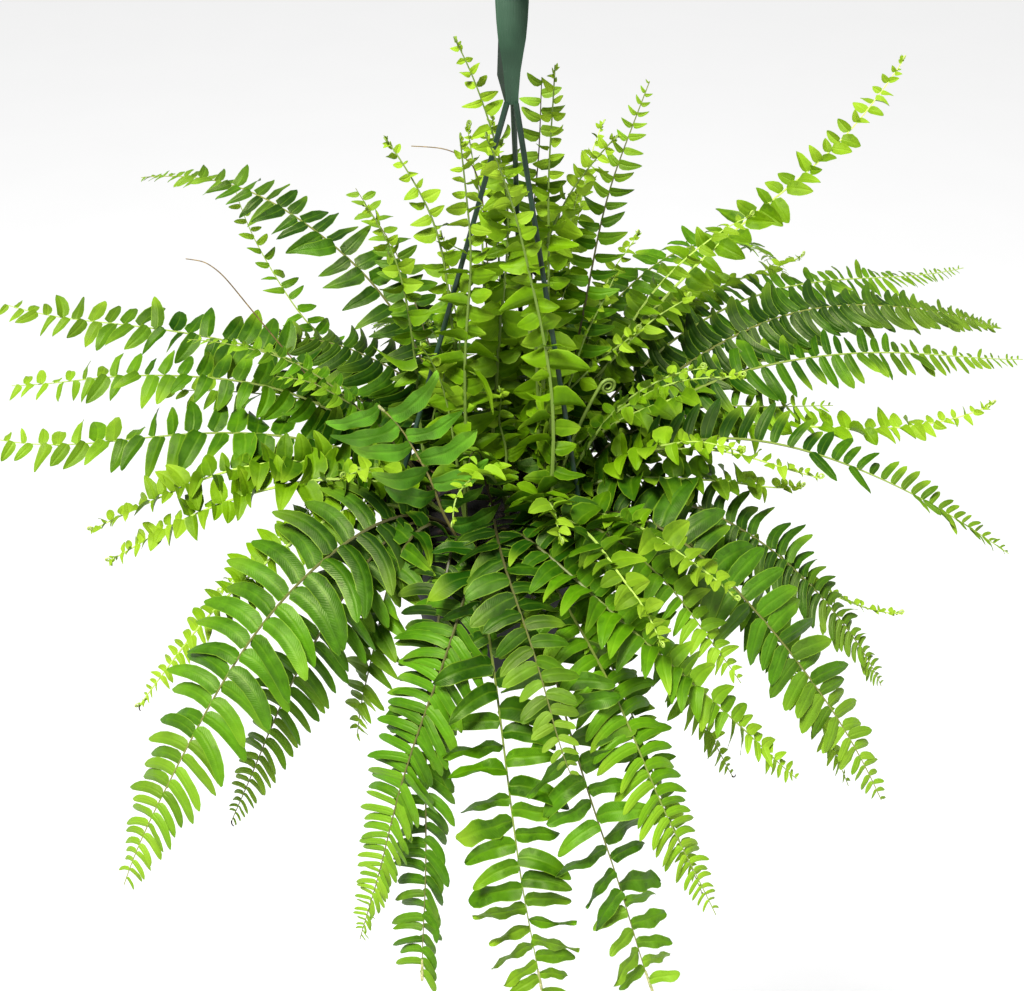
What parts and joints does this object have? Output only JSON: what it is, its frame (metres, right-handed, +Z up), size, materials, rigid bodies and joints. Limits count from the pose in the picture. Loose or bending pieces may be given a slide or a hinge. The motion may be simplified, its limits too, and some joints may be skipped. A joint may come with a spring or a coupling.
{
  "type": "potted fern",
  "caption": "Sword fern in a small dark green plastic hanging pot on a stranded hanger with a flat strap hook, its fronds arching out and down all round and hiding the pot",
  "frame": {"origin": "hang point: the inside top of the hook's bend, on the pot's vertical axis, where a ceiling hook or rail carries the plant", "axes": "+Z up along the pot's axis, -Y towards the picture's camera, +X to the picture's right; the hook's bend lies in the Y-Z plane with its free end towards -Y"},
  "size_m": [0.799, 0.5581, 0.6129],
  "materials": {
    "pot_plastic": "moulded, satin dark green",
    "hanger_plastic": "moulded, satin grey-green, fine lengthwise ribs",
    "potting_soil": "loose moist peat and bark",
    "mature_frond": "satin leaf, dark green",
    "mid_frond": "satin leaf, mid green",
    "young_frond": "satin young leaf, yellow-green"
  },
  "bodies": {
    "root": {"pot": "pot_plastic", "soil": "potting_soil", "hanger_hook": "hanger_plastic", "hanger_strand_1": "hanger_plastic", "hanger_strand_2": "hanger_plastic", "hanger_strand_3": "hanger_plastic", "frond_upright_1": "young_frond", "frond_upright_2": "mature_frond", "frond_upright_3": "young_frond", "frond_upright_4": "mid_frond", "frond_upright_5": "young_frond", "frond_upright_6": "young_frond", "frond_upright_7": "young_frond", "frond_upright_8": "young_frond", "frond_upright_9": "young_frond", "frond_back_left_1": "mature_frond", "frond_back_left_2": "mid_frond", "frond_left_comb": "mature_frond", "frond_left_1": "mid_frond", "frond_left_2": "mid_frond", "frond_left_3": "mid_frond", "frond_left_4": "young_frond", "frond_left_5": "young_frond", "frond_front_left_1": "mature_frond", "frond_front_left_2": "young_frond", "frond_front_left_3": "mature_frond", "frond_front_left_4": "mid_frond", "frond_front_1": "mature_frond", "frond_front_2": "mature_frond", "frond_front_3": "mid_frond", "frond_front_4": "mature_frond", "frond_front_5": "mature_frond", "frond_front_6": "mid_frond", "frond_front_7": "mid_frond", "frond_front_8": "mid_frond", "frond_front_9": "mid_frond", "frond_front_10": "young_frond", "frond_front_11": "young_frond", "frond_front_12": "mature_frond", "frond_front_13": "young_frond", "frond_right_1": "mature_frond", "frond_right_2": "mid_frond", "frond_right_3": "mature_frond", "frond_right_4": "young_frond", "frond_right_5": "mid_frond", "frond_right_6": "young_frond", "frond_right_7": "mid_frond", "frond_right_8": "mature_frond", "frond_right_9": "mid_frond", "frond_right_10": "young_frond", "frond_right_11": "young_frond", "frond_back_right_1": "young_frond", "frond_back_right_2": "mid_frond", "frond_back_right_3": "young_frond", "frond_back_right_4": "mature_frond", "frond_back_1": "mature_frond", "frond_back_2": "mature_frond", "frond_back_3": "mid_frond", "frond_back_4": "mature_frond", "frond_back_5": "mature_frond"}
  },
  "joints": []
}
